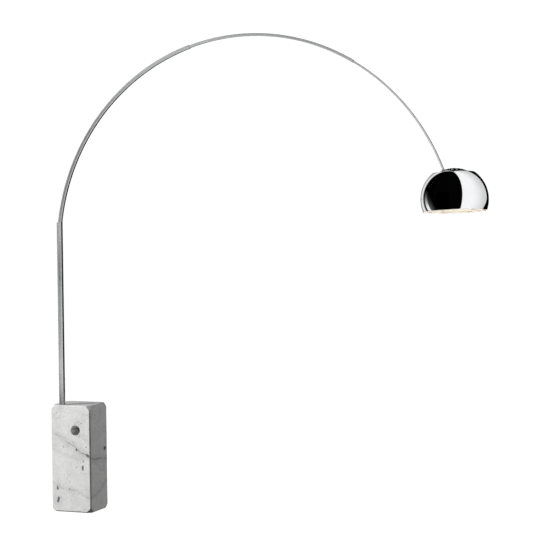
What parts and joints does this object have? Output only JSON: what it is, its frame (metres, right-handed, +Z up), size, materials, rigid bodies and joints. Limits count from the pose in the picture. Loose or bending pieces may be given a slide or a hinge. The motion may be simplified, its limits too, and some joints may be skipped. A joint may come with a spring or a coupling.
{
  "type": "arc floor lamp",
  "caption": "Floor lamp with a marble block, a square post and a three-piece telescoping steel arc that carries a polished dome reflector on a perforated cap.",
  "frame": {"origin": "on the floor, at the middle of the marble block's footprint", "axes": "+Z up, +X from the block towards the reflector, +Y to the back, so that the arc lies in an XZ plane near the block's front face"},
  "size_m": [2.2997, 0.3355, 2.4065],
  "materials": {
    "marble": "honed white marble with grey veins",
    "satin_steel": "satin, brushed along the length",
    "plain_steel": "zinc-plated, dull",
    "polished_metal": "mirror polished",
    "plain_aluminium": "turned",
    "brass": "bare pressed brass",
    "nickelled_brass": "nickel plate, semi-bright",
    "porcelain": "unglazed",
    "opal_glass": "opal white",
    "felt": "pressed wool felt",
    "nylon": "machined polyamide",
    "dark_plastic": "moulded",
    "lead_sheath": "soft round sheath"
  },
  "bodies": {
    "base": {"marble_block": "marble", "floor_pads": "felt", "tie_rod": "plain_steel", "tie_rod_washer": "plain_steel", "tie_rod_nut": "plain_steel", "conduit_sleeve": "dark_plastic", "inlet_gland": "dark_plastic", "post_tube": "satin_steel", "post_foot": "plain_steel", "foot_pin": "plain_steel", "post_cap": "satin_steel", "arc_joiner": "plain_steel", "joiner_screws": "plain_steel", "arc_lower": "satin_steel", "lower_glide": "nylon", "lead_base": "lead_sheath"},
    "middle_arc": {"arc_middle": "satin_steel", "middle_shoe": "nylon", "middle_shoe_pins": "plain_steel", "middle_glide": "nylon", "lead_middle": "lead_sheath"},
    "upper_arc": {"arc_upper": "satin_steel", "upper_shoe": "nylon", "lead_upper": "lead_sheath", "neck_flange": "plain_steel", "cap_nipple": "plain_steel", "cap_washer": "plain_steel", "cap_nut": "plain_steel", "cap_dome": "polished_metal", "holder_body": "dark_plastic", "holder_ring": "dark_plastic", "holder_insert": "porcelain", "holder_shell": "brass", "holder_contact": "brass", "bulb_cap": "nickelled_brass", "bulb_glass": "opal_glass"},
    "felt": {"felt_ring": "felt"},
    "reflector": {"seat_ring": "plain_aluminium", "reflector_shell": "polished_metal"}
  },
  "joints": [
    {"name": "middle_slide", "type": "hinge", "parent": "base", "child": "middle_arc", "pos_m": [0.99159, -0.0755, 1.34712], "axis": [0, 1, 0], "range_deg": [-15, 0]},
    {"name": "upper_slide", "type": "hinge", "parent": "middle_arc", "child": "upper_arc", "pos_m": [0.99159, -0.0755, 1.34712], "axis": [0, 1, 0], "range_deg": [-15, 0]},
    {"name": "reflector_tilt", "type": "hinge", "parent": "upper_arc", "child": "felt", "pos_m": [2.02668, -0.0755, 1.58814], "axis": [0, 1, 0], "range_deg": [-16, 13]},
    {"name": "reflector_turn", "type": "hinge", "parent": "felt", "child": "reflector", "pos_m": [2.02668, -0.0755, 1.58814], "axis": [-0.0505, 0.0663, 0.9965], "continuous": true}
  ]
}
